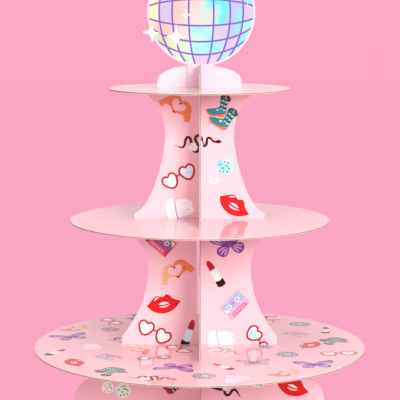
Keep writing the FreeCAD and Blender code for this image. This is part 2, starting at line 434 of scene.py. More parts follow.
def hands(left_ink, right_ink):
    """Two hands whose fingers and thumbs meet to make a heart."""
    left = [
        (-11.8, -14.0, 1), (-6.1, -14.0, 1), (-6.2, -9.0), (-1.8, -6.7), (2.5, -7.0), (4.6, -5.9),
        (2.1, -5.1), (-1.8, -4.7), (-5.2, -3.1), (-6.3, -0.8), (-6.1, 1.2), (-4.6, 2.6), (-2.6, 3.0),
        (-0.6, 1.4), (-1.0, 3.8), (-3.1, 4.9), (-5.3, 5.3), (-8.4, 3.9), (-10.8, 0.8), (-11.4, -6.2),
    ]
    right = [
        (-0.6, 1.4), (0.9, 4.2), (2.9, 5.3), (5.2, 4.7), (6.3, 2.3), (5.6, -0.8), (3.7, -3.7),
        (2.0, -6.3), (4.1, -6.6), (6.0, -4.1), (8.3, -1.9), (11.5, -0.8), (14.8, -2.7, 1),
        (18.1, 0.9, 1), (16.1, 3.6), (12.2, 6.2), (8.3, 9.0), (4.4, 9.6), (0.5, 8.2), (-1.5, 5.1),
    ]
    return motif(
        patch(left_ink, 1, left),
        patch(right_ink, 2, right),
        patch(NAIL_RED, 3, moved(disc(1.3, flat=0.6), -0.5, 2.2, 50)),
        patch(NAIL_RED, 3, moved(disc(1.1, flat=0.5), -3.1, 3.2, -10)),
        patch(NAIL_RED, 3, moved(disc(1.5, flat=0.55), 2.9, -6.4, 15)),
        stroke(NAIL_RED, 3, 0.5, [(1.2, 4.6), (2.4, 6.6)]),
        stroke(NAIL_RED, 3, 0.4, [(7.5, 1.5), (10.0, 3.2)]),
    )


def snake(ink, mark, flower):
    body = [
        (-21.6, -3.3), (-18.2, -3.8), (-14.6, -5.0), (-12.2, -3.0), (-11.4, 1.2), (-9.0, 4.3),
        (-6.7, 2.2), (-6.2, -3.0), (-4.2, -7.4), (-0.8, -8.6), (1.0, -5.0), (-1.6, 0.0), (-2.4, 3.6),
        (0.2, 5.8), (3.0, 3.6), (3.8, -1.0), (5.4, -3.5), (7.2, -2.4), (7.8, 0.8), (9.0, 3.7),
        (11.4, 3.2), (13.4, 0.9), (15.8, 0.2), (18.6, 0.4), (21.4, 0.3),
    ]
    widths = [0.15, 0.35, 0.6, 0.8] + [1.0] * 15 + [0.9, 0.8, 0.75, 0.8, 1.45, 0.25]
    layers = [stroke(ink, 1, 2.5, body, widths=widths)]
    for x, y in body[4:20:2]:
        layers.append(patch(mark, 2, moved(bar(-0.5, -0.5, 0.5, 0.5), x, y, 45)))
    for turn in range(0, 360, 60):
        petal = moved(disc(1.8, 2.4, 0, 0.75), -4.4, -4.6, turn)
        layers.append(patch(flower, 5, petal))
    layers.append(patch(WARM_FOIL, 6, disc(1.1, -4.4, -4.6)))
    layers.append(patch(MINT_FOIL, 5, [(3.0, 1.2), (3.9, -0.6), (4.4, -3.0), (3.4, -4.2), (2.4, -1.6)]))
    return motif(*layers)


def curled_snake():
    """The hind half of a snake, curled behind a foil leaf."""
    body = [
        (-19.0, 4.4), (-15.6, 3.0), (-12.4, 2.0), (-9.2, 1.0), (-6.6, 1.2), (-5.6, -0.8), (-5.0, -2.9),
        (-3.2, -4.4), (-0.8, -3.2), (1.0, -0.5), (3.2, 0.8), (5.4, -0.6), (7.0, -3.4), (9.0, -6.6),
    ]
    widths = [1.3, 1.3, 1.2, 1.1, 1.0, 1.0, 1.0, 1.0, 1.0, 1.0, 0.95, 0.8, 0.5, 0.15]
    leaf = [(-7.8, 1.6, 1), (-6.2, 3.6), (-2.8, 3.8), (-0.4, 2.8), (-2.6, 0.8), (-5.6, 0.0)]
    return motif(stroke(MAROON, 1, 2.6, body, widths=widths), patch(MINT_FOIL, 4, leaf))


def round_glasses():
    layers = [stroke(MAROON_LIGHT, 2, 1.2, [(-3.4, 0.4), (0, 1.2), (3.4, 0.4)])]
    for x in (-8.6, 8.6):
        layers.append(patch(GREY_BLUE, 1, disc(6.0, x)))
        layers.append(patch(SILVER_FOIL, 2, disc(3.2, x + 0.6, 0.6)))
    return motif(*layers)


def lipstick(upper_foil, lower_foil):
    bullet = [
        (-2.7, 3.0, 1), (-2.8, 8.4), (-1.7, 12.4), (0.0, 13.4), (1.9, 11.2), (2.8, 7.4), (2.7, 3.0, 1),
    ]
    base = [
        (-3.9, -6.9, 1), (-3.9, -12.8, 1), (0, -13.8), (3.9, -12.8, 1), (3.9, -6.9, 1), (0, -7.9),
    ]
    return motif(
        patch(FRAME_RED, 1, bullet),
        patch(NAIL_RED, 2, [(0.9, 3.4, 1), (2.4, 3.4, 1), (2.3, 7.4), (1.0, 9.6)]),
        patch(upper_foil, 2, bar(-3.1, -2.6, 3.1, 3.8)),
        patch(lower_foil, 1, bar(-3.1, -7.8, 3.1, -2.2)),
        patch(CYAN_FOIL, 3, bar(-3.1, 2.7, 3.1, 3.9)),
        patch(BLACK, 3, base),
    )


def cassette(body, label, strip, spot, far_corner):
    """A cassette with a blank label."""
    layers = [
        patch(body, 1, bar(-12, -8.3, 12, 8.3)),
        patch(label, 2, bar(-10.8, -2.6, 10.8, 7.0)),
        patch(body, 3, bar(-10.8, -1.7, 10.8, -1.0)),
        patch(MINT_FOIL, 3, [(-10.8, -0.6, 1), (-6.4, -0.6, 1), (-10.8, 3.8, 1)]),
        patch(far_corner, 3, [(10.8, 7.0, 1), (6.4, 7.0, 1), (10.8, 2.6, 1)]),
        patch(strip, 2, [(-7.6, -3.6, 1), (7.6, -3.6, 1), (9.2, -7.6, 1), (-9.2, -7.6, 1)]),
        patch(strip, 3, bar(-1.9, 1.2, 1.9, 3.8)),
    ]
    for x in (-5.0, 5.0):
        layers.append(patch(WHITE, 3, disc(2.2, x, 2.4)))
        layers.append(patch(spot, 4, disc(1.1, x, 2.4)))
    for order in range(5):
        layers.append(patch(WHITE, 3, disc(0.55, -5.6 + 2.8 * order, -5.6)))
    return motif(*layers)


def butterfly(ink, cell):
    upper = [
        (0.6, -1.5, 1), (1.2, 3.0), (5.0, 8.6), (11.0, 13.0), (17.0, 13.4), (17.6, 8.0), (15.0, 3.6),
        (10.0, 0.4), (4.5, -2.4),
    ]
    lower = [
        (0.6, -2.0, 1), (6.5, -1.6), (11.5, -2.6), (12.8, -6.6), (10.6, -10.2), (6.6, -11.6),
        (3.4, -9.6), (0.9, -4.4),
    ]
    veins = [
        [(3.2, 1.6), (8.0, 7.4), (13.6, 11.6)],
        [(5.0, 0.8), (10.5, 5.4), (15.6, 8.8)],
        [(6.6, 0.2), (10.0, 2.2), (14.0, 5.2)],
        [(3.0, -3.2), (7.5, -3.8), (11.2, -5.4)],
        [(2.6, -4.2), (6.4, -6.0), (9.8, -8.4)],
        [(2.2, -5.2), (4.4, -7.4), (6.6, -10.2)],
    ]
    layers = [stroke(ink, 4, 1.7, [(0, -5.0), (0, 0), (0, 4.4)], widths=[0.5, 1.0, 0.8])]
    for side in (-1, 1):
        for wing in (upper, lower):
            layers.append(patch(ink, 1, [(side * point[0], *point[1:]) for point in wing]))
        for vein in veins:
            line = [(side * x, y) for x, y in vein]
            layers.append(stroke(cell, 3, 1.9, line, widths=[0.3, 1.0, 0.8]))
        layers.append(stroke(ink, 2, 0.4, [(side * 0.3, 4.2), (side * 1.6, 6.8), (side * 3.0, 7.6)]))
    return motif(*layers)


BOOT_EDGE = [
    (-12.8, 3.1, 1), (-11.8, -0.6), (-8.3, -3.9), (-4.5, -5.4), (0, -6.2), (2.8, -6.6), (5.5, -2.8),
    (8.3, 1.4), (11.0, 3.2), (11.8, 6.9), (9.0, 9.7), (6.2, 10.6), (3.5, 9.0), (2.1, 6.2), (0.7, 2.8),
    (-1.4, 1.2), (-4.8, 1.5), (-8.3, 2.5),
]


def boot_layers(leather, cuff, band, sole, foil, base, place):
    """One cowboy boot seen from the side, its toe to the left. Its place is x, y, turn and size."""
    heel = [(-5.0, -5.2, 1), (-4.4, -7.4), (-1.4, -9.0), (2.6, -7.8), (3.2, -6.2, 1)]
    welt = [(-13.2, 2.6), (-12.2, -1.4), (-8.5, -4.6), (-4.5, -6.0), (0, -6.8), (3.0, -7.0)]
    top_band = [
        (3.4, 8.8), (6.0, 10.9), (9.2, 10.0), (12.0, 7.0), (11.4, 3.2), (9.9, 4.2), (9.9, 6.4),
        (8.0, 8.0), (6.0, 8.6), (4.6, 7.2),
    ]
    layers = [
        patch(sole, base, moved(heel, *place)),
        stroke(sole, base + 1, 1.3, moved(welt, *place)),
        patch(leather, base + 2, moved(BOOT_EDGE, *place)),
        patch(band, base + 3, moved(top_band, *place)),
        stroke(sole, base + 4, 1.3, moved([(9.4, 9.4), (8.6, 7.4), (7.4, 5.6)], *place)),
        patch(foil, base + 3, moved(disc(1.3, -3.0, -1.0, 0.7), *place)),
    ]
    rear_inks = (WHITE_FOIL, cuff, WARM_FOIL, cuff, PEARL_FOIL, cuff)
    for order, ink in enumerate((CYAN_FOIL, cuff, CYAN_FOIL, cuff, MINT_FOIL, cuff)):
        spine_x = 0.2 + order * 1.15
        spine_y = -1.6 + order * 1.6
        back = [(spine_x + 1.4, spine_y - 1.1), (spine_x + 3.8, spine_y - 2.4)]
        front = [(spine_x - 0.8, spine_y + 1.0), (spine_x + 0.9, spine_y)]
        layers.append(stroke(ink, base + 3, 1.3, moved(front, *place)))
        layers.append(stroke(rear_inks[order], base + 3, 1.2, moved(back, *place)))
    return layers


def boots(leather, cuff, near_band, sole):
    """A pair of boots, the near one in front of the far one."""
    far = boot_layers(leather, cuff, cuff, sole, CYAN_FOIL, 1, (-3.6, 10.8, 19, 0.94))
    near = boot_layers(leather, cuff, near_band, sole, WARM_FOIL, 6, (0, 0, 0, 1))
    return motif(*far, *near)


def die(foil, pip, radius):
    """A soft-cornered party die with its pips."""
    corners = (1.0, 0.94, 1.04, 0.96, 1.03, 0.93, 1.0)
    ring = [
        moved([(radius * share, 0)], turn=360 * order / len(corners) + 10)[0]
        for order, share in enumerate(corners)
    ]
    layers = [patch(foil, 1, ring)]
    pips = [(-0.45, 0.3), (0.1, 0.62), (0.25, 0.2), (0.5, 0.05), (0.62, -0.2), (-0.5, -0.5)]
    pips += [(-0.05, -0.55), (0.38, -0.6), (-0.15, -0.1), (0.45, 0.5)]
    for x, y in pips:
        layers.append(patch(pip, 2, disc(0.1 * radius, x * radius, y * radius)))
    return motif(*layers)


def hat(felt, band, shade):
    brim = [
        (-10.2, 2.4), (-9.6, -2.6), (-4.5, -5.6), (4.5, -5.6), (9.6, -2.6), (10.2, 2.4),
        (6.0, 3.2), (0, 2.6), (-6.0, 3.2),
    ]
    crown = [
        (-8.0, 2.0, 1), (-8.2, 8.0), (-6.8, 14.0), (-3.0, 18.6), (0.4, 17.6), (3.4, 19.2),
        (6.4, 15.0), (7.6, 9.0), (7.8, 2.0, 1), (0, 1.0),
    ]
    return motif(
        patch(felt, 1, crown),
        patch(felt, 2, brim),
        stroke(band, 3, 1.4, [(-9.2, 3.2), (0, 2.8), (9.2, 3.2)]),
        stroke(shade, 2, 0.6, [(2.6, 15.6), (2.0, 11.6), (2.8, 8.4)]),
        stroke(shade, 2, 0.5, [(-4.4, 15.2), (-3.4, 12.4), (-3.6, 9.6)]),
    )


def mirror_ball(ink, line):
    radius = 9.0
    layers = [patch(ink, 1, disc(radius))]
    for share in (-0.6, -0.2, 0.2, 0.6):
        reach = radius * math.cos(math.asin(share)) * 0.96
        bow = share * radius
        layers.append(stroke(line, 2, 0.5, [(-reach, bow * 0.86), (0, bow), (reach, bow * 0.86)]))
        layers.append(stroke(line, 2, 0.5, [(bow * 0.86, -reach), (bow, 0), (bow * 0.86, reach)]))
    return motif(*layers, patch(CYAN_FOIL, 3, disc(1.7, 0.8, 0.6)))


ARTWORK = {
    "lips": lips(PEARL_FOIL),
    "cool_lips": lips(CYAN_FOIL),
    "sunglasses": sunglasses(PEARL_FOIL, PEARL_FOIL),
    "silver_sunglasses": sunglasses(PEARL_FOIL, SILVER_FOIL),
    "cool_sunglasses": sunglasses(CYAN_FOIL, CYAN_FOIL),
    "orange_hands": hands(ORANGE, ORANGE),
    "hands": hands(TAN, ORANGE),
    "snake": snake(MAROON, MAROON_LIGHT, WHITE_FOIL),
    "silver_snake": snake(GREY_BLUE, PALE_GREY, WHITE),
    "curled_snake": curled_snake(),
    "round_glasses": round_glasses(),
    "lipstick": lipstick(MINT_FOIL, PEARL_FOIL),
    "silver_lipstick": lipstick(SILVER_FOIL, SILVER_FOIL),
    "red_cassette": cassette(MAGENTA, SLATE_BLUE, HOT_PINK, FRAME_RED, MINT_FOIL),
    "pale_cassette": cassette(PALE_PINK, SKY, HOT_PINK, HOT_PINK, SKY),
    "butterfly": butterfly(PURPLE, LILAC),
    "grey_butterfly": butterfly(GREY_BLUE, PALE_GREY),
    "boots": boots(TEAL, DARK_TEAL, MID_TEAL, SOLE_ORANGE),
    "dark_boots": boots(MAROON_LIGHT, BLACK, BLACK, LIP_RED),
    "cyan_die": die(CYAN_FOIL, PIP_BROWN, 7.4),
    "warm_die": die(WARM_FOIL, PALE_GREY, 5.6),
    "pearl_die": die(PEARL_FOIL, PIP_BROWN, 5.6),
    "mint_die": die(MINT_FOIL, BLACK, 7.0),
    "hat": hat(WHITE_FOIL, LILAC, PALE_GREY),
    "ball": mirror_ball(GREY_BLUE, PALE_GREY),
}

# The way each printed face is read: its right-hand direction and its upward direction.
READING = {
    "front": ((1, 0, 0), (0, 0, 1)),
    "back": ((-1, 0, 0), (0, 0, 1)),
    "right": ((0, 1, 0), (0, 0, 1)),
    "left": ((0, -1, 0), (0, 0, 1)),
    "top": ((1, 0, 0), (0, 1, 0)),
}
SLOT_REACH = 26.0           # a drawing centred nearer than this may cross the slot
CUT_SLACK = 0.0001          # points this near a cut lie on it
STREWN = [
    "lips", "sunglasses", "hands", "snake", "lipstick", "red_cassette", "butterfly", "boots",
    "cyan_die", "hat", "pale_cassette",
]
STREWN_PITCH = 25.0         # from one strewn drawing to the next
STREWN_COLUMNS = 6          # columns tried each side of the board's middle
STREWN_STRAY = 3.0          # how far each may stray from its own spot
STREWN_TURN = 60            # how far each may be turned, in degrees
STREWN_SIZE = 0.7
STREWN_MARGIN = 1.5         # bare board kept round each
FIRST_ROW = 0.6             # the lowest row's height, as a share of the pitch
PROBE = 2 * MM              # how deep a test for solid board looks


def face_place(node, side, foot):
    """Where a face's own drawing plane lies: x to its right, y up from its foot, z outwards."""
    right, up = map(Vector, READING[side])
    outward = right.cross(up)
    low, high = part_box(node)
    thin = thickness_axis(node)
    origin = Vector((0, 0, foot))
    origin[thin] = high[thin] if outward[thin] > 0 else low[thin]
    place = Matrix.Identity(4)
    for column, direction in enumerate((right, up, outward, origin)):
        for row in range(3):
            place[row][column] = direction[row]
    return place @ Matrix.Scale(MM, 4)


def cut_off(form, point, outward):
    """Cuts away what lies outside a plane."""
    everything = form.verts[:] + form.edges[:] + form.faces[:]
    bmesh.ops.bisect_plane(
        form, geom=everything, dist=CUT_SLACK, plane_co=point, plane_no=outward, clear_outer=True,
    )


def trim(form, point, outward):
    """Cuts away what lies outside a plane and closes the cut."""
    cut_off(form, point, outward)
    rims = [edge for edge in form.edges if edge.is_boundary]
    for face in bmesh.ops.holes_fill(form, edges=rims, sides=0)["faces"]:
        neighbours = [other for edge in face.edges for other in edge.link_faces if other != face]
        face.material_index = neighbours[0].material_index


def stamped(sheet, art, x, y, turn, size, limits):
    """Adds one drawing to a sheet, cut off at each limit: a point and the way out of the board."""
    form = bmesh.new()
    form.from_mesh(ARTWORK[art])
    spin = Matrix.Translation((x, y, 0)) @ Matrix.Rotation(math.radians(turn), 4, "Z")
    bmesh.ops.transform(form, matrix=spin @ Matrix.Diagonal((size, size, 1, 1)), verts=form.verts)
    for point, outward in limits:
        if any((vertex.co - Vector(point)).dot(Vector(outward)) > 0 for vertex in form.verts):
            trim(form, point, outward)
    cut = as_mesh("cut", form)
    sheet.from_mesh(cut)
    bpy.data.meshes.remove(cut)


def print_face(node, side, drawings, foot=0.0, slot=None):
    """Prints drawings on one face of a board: each is its name, place, turn and perhaps size."""
    sheet = bmesh.new()
    at_foot = [] if side == "top" else [((0, 0, 0), (0, -1, 0))]
    for art, x, y, turn, *more in drawings:
        size = more[0] if more else 1.0
        if slot and abs(x) < SLOT_REACH:
            stamped(sheet, art, x, y, turn, size, at_foot + [((slot[0], 0, 0), (1, 0, 0))])
            stamped(sheet, art, x, y, turn, size, at_foot + [((slot[1], 0, 0), (-1, 0, 0))])
        else:
            stamped(sheet, art, x, y, turn, size, at_foot)
    bmesh.ops.transform(sheet, matrix=face_place(node, side, foot), verts=sheet.verts)
    make_piece(f"{node}_{side}_motifs", sheet, ink_stock, node)


def on_board(solid, place, x, y, reach):
    """True where a drawing of this reach has solid board behind the whole of it."""
    inward = -place.to_3x3().col[2].normalized()
    for turn in range(0, 360, 30):
        rim = moved([(reach, 0)], x, y, turn)[0]
        start = place @ Vector((*rim, 1.0))
        hit = solid.ray_cast(start, inward, PROBE)
        if hit[0] is None:
            return False
    return True


def scattered(node, side, foot, seed, high=math.inf):
    """Drawings strewn evenly over a face, clear of its edges, its slots and its crossing, and
    centred below a height."""
    form = bmesh.new()
    form.from_mesh(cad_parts[node].data)
    solid = BVHTree.FromBMesh(form)
    form.free()
    place = face_place(node, side, foot)
    chance = random.Random(seed)
    names = STREWN[:]
    chance.shuffle(names)
    found = []
    bottom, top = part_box(node)
    for row in range(int((top.z - bottom.z) / MM / STREWN_PITCH) + 1):
        for column in range(-STREWN_COLUMNS, STREWN_COLUMNS + 1):
            stray_x = chance.uniform(-STREWN_STRAY, STREWN_STRAY)
            stray_y = chance.uniform(-STREWN_STRAY, STREWN_STRAY)
            turn = chance.uniform(-STREWN_TURN, STREWN_TURN)
            x = (column + 0.5 * (row % 2)) * STREWN_PITCH + stray_x
            y = (row + FIRST_ROW) * STREWN_PITCH + stray_y
            name = names[(row * 5 + column * 3) % len(names)]
            reach = max(vertex.co.xy.length for vertex in ARTWORK[name].vertices) * STREWN_SIZE
            clear = reach + STREWN_MARGIN
            if y < high and abs(x) > clear and on_board(solid, place, x, y, clear):
                found.append((name, x, y, turn, STREWN_SIZE))
    return found


def strew(node, side, foot, seed, high=math.inf):
    """Prints one face with strewn drawings alone."""
    print_face(node, side, scattered(node, side, foot, seed, high), foot)


SNUG_SLOT = (-0.35, 1.45)   # where a close slot starts and ends across a panel's front
LOOSE_SLOT = (-2.55, 1.45)
BASE_FRONT = [
    ("pearl_die", -84.0, 51.0, 0),
    ("mint_die", -70.2, 48.0, 20),
    ("dark_boots", -25.0, 51.5, -20, 0.8),
    ("curled_snake", 28.6, 48.3, 0),
    ("mint_die", 53.6, 57.2, 0),
    ("lips", 85.5, 52.0, -20),
]
BASE_ROWS_BELOW = 34.0      # below this the base's front carries strewn drawings

print_face(
    "base_panel_across", "front",
    BASE_FRONT + scattered("base_panel_across", "front", 0, 11, high=BASE_ROWS_BELOW),
    slot=SNUG_SLOT,
)
strew("base_panel_across", "back", 0, 12)
strew("base_panel_front_back", "left", 0, 13)
strew("base_panel_front_back", "right", 0, 14)

# ---- Bottom plate ----
# A 300 mm round plate of the same laminated board lies on the base. Its top is printed all over
# with the drawings, each turned its own way, and four slits in it take the next support's tabs.
laminated_board("bottom_plate", PINK_SHEET)

PLATE_DRAWINGS = [
    ("sunglasses", -86, 98, -60), ("hands", -117, 65, 195), ("butterfly", -120, 30, 25),
    ("ball", -85, 62, 0), ("snake", -67, 24, 12), ("hat", -97, -14, 10, 0.86),
    ("lipstick", -128, -31, -32),
    ("pale_cassette", -80, -50, 138), ("lips", -108, -70, -70), ("boots", -76, -95, 176),
    ("snake", -39, -123, -14), ("hands", -55, -21, -70), ("round_glasses", -40, -53, 17, 1.1),
    ("butterfly", -20, -86, 165), ("sunglasses", -19, -19, -55),
    ("ball", 4, -117, 0, 1.15), ("lipstick", 20, -84, 35), ("silver_snake", 22, -24, -50),
    ("grey_butterfly", 48, -70, 10, 0.85), ("hat", 32, -122, 160), ("hands", 74, -108, 195),
    ("ball", 60, -10, 0, 0.75), ("ball", 78, -40, 0, 1.15), ("butterfly", 100, -77, 8),
    ("sunglasses", 124, -36, 5), ("lips", 101, -3, 60), ("pale_cassette", 91, 42, 138),
    ("boots", 124, 20, 165), ("lipstick", 120, 59, -6), ("ball", 97, 86, 0, 1.15),
    ("snake", 59, 114, 25),
    ("hands", 66, 96, 40), ("butterfly", 20, 118, 0), ("lips", -30, 122, 20),
    ("boots", -55, 111, 30), ("cyan_die", -20, 88, 0), ("lipstick", 24, 78, 60),
    ("hat", -40, 46, 20), ("red_cassette", 40, 36, 30), ("sunglasses", 8, 48, 10),
]
print_face("bottom_plate", "top", PLATE_DRAWINGS)

# ---- Middle support ----
# Two waisted panels of the same board, crossed as the base's are. The slot in the one that runs
# across is much wider than the board, so the other stands against the slot's right side and
# leaves a gap on its left. Tabs under both panels pass through the plate into the base.
bottom_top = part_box("bottom_plate")[1].z
MIDDLE_FRONT = [
    ("red_cassette", -34.8, 94.7, -41),
    ("hands", -22.3, 69.0, 0),
    ("lips", -32.4, 37.8, 10),
    ("sunglasses", -41.2, 11.4, -28),
    ("silver_lipstick", -9.8, 10.2, -20),
    ("butterfly", 26.6, 94.0, 15),
    ("lipstick", 14.0, 65.9, 31),
    ("pale_cassette", 32.3, 36.6, 46),
    ("hat", 14.2, 3.2, -80, 0.94),
    ("cool_sunglasses", 53.6, 2.3, -62),
]

laminated_board("middle_panel_across", PINK_SHEET)
laminated_board("middle_panel_front_back", PINK_SHEET)
print_face("middle_panel_across", "front", MIDDLE_FRONT, bottom_top, slot=LOOSE_SLOT)
strew("middle_panel_across", "back", bottom_top, 21)
strew("middle_panel_front_back", "left", bottom_top, 22)
strew("middle_panel_front_back", "right", bottom_top, 23)

# ---- Middle plate ----
# A plain pink plate of the same board, 233 mm across, lies on the middle support. A fine crease
# stands a tenth of a millimetre up from its top all the way round, about 10 mm in from the rim.
laminated_board("middle_plate", PINK_SHEET)

CREASE_INSET = 9.7 * MM
CREASE_WIDTH = 1.0 * MM
CREASE_HEIGHT = 0.12 * MM
CREASE_STEPS = 128


def pressed_crease(node):
    """A low rounded bead, spun round the plate's axis."""
    low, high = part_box(node)
    radius = high.x - CREASE_INSET
    form = bmesh.new()
    profile = []
    for order in range(5):
        angle = math.pi * order / 4
        across = radius + CREASE_WIDTH / 2 * math.cos(angle)
        profile.append(form.verts.new((across, 0, high.z + CREASE_HEIGHT * math.sin(angle))))
    profile.append(form.verts.new((radius, 0, high.z - CREASE_HEIGHT)))
    edges = [form.edges.new((profile[order - 1], profile[order])) for order in range(len(profile))]
    bmesh.ops.spin(
        form, geom=profile + edges, cent=(0, 0, 0), axis=(0, 0, 1), angle=math.tau,
        steps=CREASE_STEPS, use_merge=True,
    )
    bmesh.ops.remove_doubles(form, verts=form.verts, dist=MERGE)
    bmesh.ops.recalc_face_normals(form, faces=form.faces)
    for face in form.faces:
        face.smooth = True
    make_piece(node + "_crease", form, [PINK_SHEET], node)


pressed_crease("middle_plate")

# ---- Top support ----
# The narrowest pair of board panels, crossed like the others. Each ends in a half-round dome
# that stands up through the top plate, and the front-to-back dome is notched for the ball card.
middle_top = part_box("middle_plate")[1].z
TOP_FRONT = [
    ("orange_hands", -18.8, 102.4, -62),
    ("snake", -1.3, 69.5, 0),
    ("silver_sunglasses", -18.4, 38.2, 29),
    ("hat", -24.2, 8.2, -80),
    ("boots", 22.1, 89.3, 0),
    ("cyan_die", 22.0, 46.9, 0),
    ("warm_die", 13.0, 36.5, 25),
    ("cool_lips", 31.5, 12.0, -32),
]
DOME_CLEAR = 106.0          # strewn drawings are centred below this height, clear of the domes

laminated_board("top_panel_across", PINK_SHEET)
laminated_board("top_panel_front_back", PINK_SHEET)
print_face("top_panel_across", "front", TOP_FRONT, middle_top, slot=SNUG_SLOT)
strew("top_panel_across", "back", middle_top, 31, DOME_CLEAR)
strew("top_panel_front_back", "left", middle_top, 32, DOME_CLEAR)
strew("top_panel_front_back", "right", middle_top, 33, DOME_CLEAR)

# ---- Top plate ----
# The smallest plate, 162 mm across, is of the same board and plain pink. It lies on the top
# support, whose domes stand up through a cross of two slits in it.
laminated_board("top_plate", PINK_SHEET)

# ---- Mirror-ball card ----
# A flat white card cut to the shape of a mirror ball with two sparkles at its edge, on a stem
# that half-laps onto the front-to-back dome. Violet lines are printed between foil tiles, which
# are drawn as a ball's tiles look from the front.
CARD_SHEET = printed_sheet("card_print", display(226, 212, 224), display(223, 208, 220))
laminated_board("topper", CARD_SHEET)

plate_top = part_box("top_plate")[1].z
BALL_UP = 67.3              # centre of the ball above the top plate
BALL_PRINT = 46.1           # radius of the printed circle, inside a white margin
BALL_X = 1.5                # centre of the ball to the right of the stand's axis
LINE_GAP = 0.75             # half the width of a violet line
BULGE = 1.14                # 1 bows the tile rows as a full half ball would, and more is flatter
LINE_ANGLES = (-54, -34, -14, 14, 34, 54)
ROW_ANGLES = (-55, -34.8, -15.3, 14, 34, 54)
BEYOND = 1.1                # the outermost tiles run past the printed circle and are cut to it
TILE_CUTS = 5               # parts along each side of a tile
RIM_CUTS = 96               # straight cuts that round off the outermost tiles
SPARKLE_HOLLOW = 0.23       # how far out a sparkle's hollow sides reach, as a share of its points
VIOLET = spot_ink("ball_violet", 126, 92, 190)


def ball_foil(name, across, tones, cloud):
    """Foil whose colour drifts across the ball from its left to its right."""
    material, tree, shader, place = new_finish(name, 0.25, 1.0)
    shader.inputs["Metallic"].default_value = 0.1
    split = tree.nodes.new("ShaderNodeSeparateXYZ")
    tree.links.new(place, split.inputs["Vector"])
    rim = BALL_PRINT * MM
    slope = spread_between(tree, split.outputs[across], 0.0, 1.0, -rim, rim)
    wander = spread_between(tree, mottle(tree, place, cloud, 1.0), -0.12, 0.12)
    total = arithmetic(tree, "ADD", slope, wander)
    step = 1 / (len(tones) - 1)
    stops = [(step * order, display(*tone)) for order, tone in enumerate(tones)]
    tree.links.new(colours_along(tree, total, stops), shader.inputs["Base Color"])
    return stock(material)


RAINBOW = [
    (236, 236, 186), (216, 192, 184), (220, 198, 192), (218, 210, 200), (196, 222, 210),
    (84, 232, 232), (176, 190, 232), (120, 230, 232),
]
GREENS = [
    (214, 220, 184), (198, 214, 170), (206, 226, 190), (196, 232, 206), (140, 230, 232),
    (176, 212, 230), (130, 228, 232), (160, 228, 230),
]
LAVENDERS = [
    (202, 198, 222), (190, 190, 224), (204, 198, 216), (200, 196, 218), (194, 194, 224),
    (198, 192, 218),
]
BALL_RAINBOW = ball_foil("ball_rainbow_foil", 0, RAINBOW, 24 * MM)
BALL_GREEN = ball_foil("ball_green_foil", 0, GREENS, 24 * MM)
BALL_LAVENDER = ball_foil("ball_lavender_foil", 0, LAVENDERS, 30 * MM)
TILE_FOILS = {"R": BALL_RAINBOW, "G": BALL_GREEN, "L": BALL_LAVENDER}
# Each tile's foil, row by row from the bottom up.
TILE_PLAN = ["GGGLLGG", "GGGGGLG", "RRRGLRG", "RLRRRRL", "RLRRRLR", "LRRLRLR", "RRLRRRL"]


def ball_point(across, up):
    """Where a point of a ball's tile grid, from -1 to 1 both ways, lies on the flat card."""
    strength = BULGE ** 2
    shared = 1 - across ** 2 * up ** 2 / strength ** 2
    x = across * math.sqrt(max(0.0, (1 - up ** 2 / strength) / shared))
    y = up * math.sqrt(max(0.0, (1 - across ** 2 / strength) / shared))
    return BALL_PRINT * x, BALL_PRINT * y


def line_places(angles):
    """Where the lines cross the middle of the ball, from its rim at -1 to its rim at 1."""
    return [-BEYOND] + [math.sin(math.radians(angle)) for angle in angles] + [BEYOND]


def share_between(places, order, share):
    """A place part of the way from one line to the next."""
    return places[order] + share * (places[order + 1] - places[order])


def ball_tile(column, row, ink):
    """One tile between its violet lines, cut off where it meets the printed circle's rim."""
    across_limits = line_places(LINE_ANGLES)
    up_limits = line_places(ROW_ANGLES)
    form = bmesh.new()
    bmesh.ops.create_grid(form, x_segments=TILE_CUTS, y_segments=TILE_CUTS, size=0.5)
    for vertex in form.verts:
        across = share_between(across_limits, column, vertex.co.x + 0.5)
        up = share_between(up_limits, row, vertex.co.y + 0.5)
        vertex.co.x, vertex.co.y = ball_point(across, up)
    rim = bmesh.ops.inset_region(
        form, faces=form.faces[:], thickness=LINE_GAP, use_boundary=True, use_even_offset=True,
    )
    bmesh.ops.delete(form, geom=rim["faces"], context="FACES")
    for order in range(RIM_CUTS):
        turn = math.tau * order / RIM_CUTS
        outward = Vector((math.cos(turn), math.sin(turn), 0))
        if any(vertex.co.dot(outward) > BALL_PRINT for vertex in form.verts):
            cut_off(form, outward * BALL_PRINT, outward)
    grown = bmesh.ops.extrude_face_region(form, geom=form.faces[:])["geom"]
    raised = [item for item in grown if isinstance(item, bmesh.types.BMVert)]
    bmesh.ops.translate(form, verts=form.verts, vec=(0, 0, -SINK))
    bmesh.ops.translate(form, verts=raised, vec=(0, 0, SINK + 2 * INK_STEP))
    for face in form.faces:
        face.material_index = ink
    bmesh.ops.recalc_face_normals(form, faces=form.faces)
    return as_mesh("tile", form)


def sparkle(x, y, half_width, half_height):
    """A four-pointed sparkle with hollow sides."""
    points = []
    for side, rise in ((1, 1), (-1, 1), (-1, -1), (1, -1)):
        tip = (x + side * half_width, y, 1)
        hollow_x = x + side * half_width * SPARKLE_HOLLOW
        hollow_y = y + rise * half_height * SPARKLE_HOLLOW
        tips = [tip, (hollow_x, hollow_y)]
        points += tips if side * rise > 0 else tips[::-1]
        if side * rise > 0:
            points.append((x, y + rise * half_height, 1))
    return patch(WHITE, 3, points)


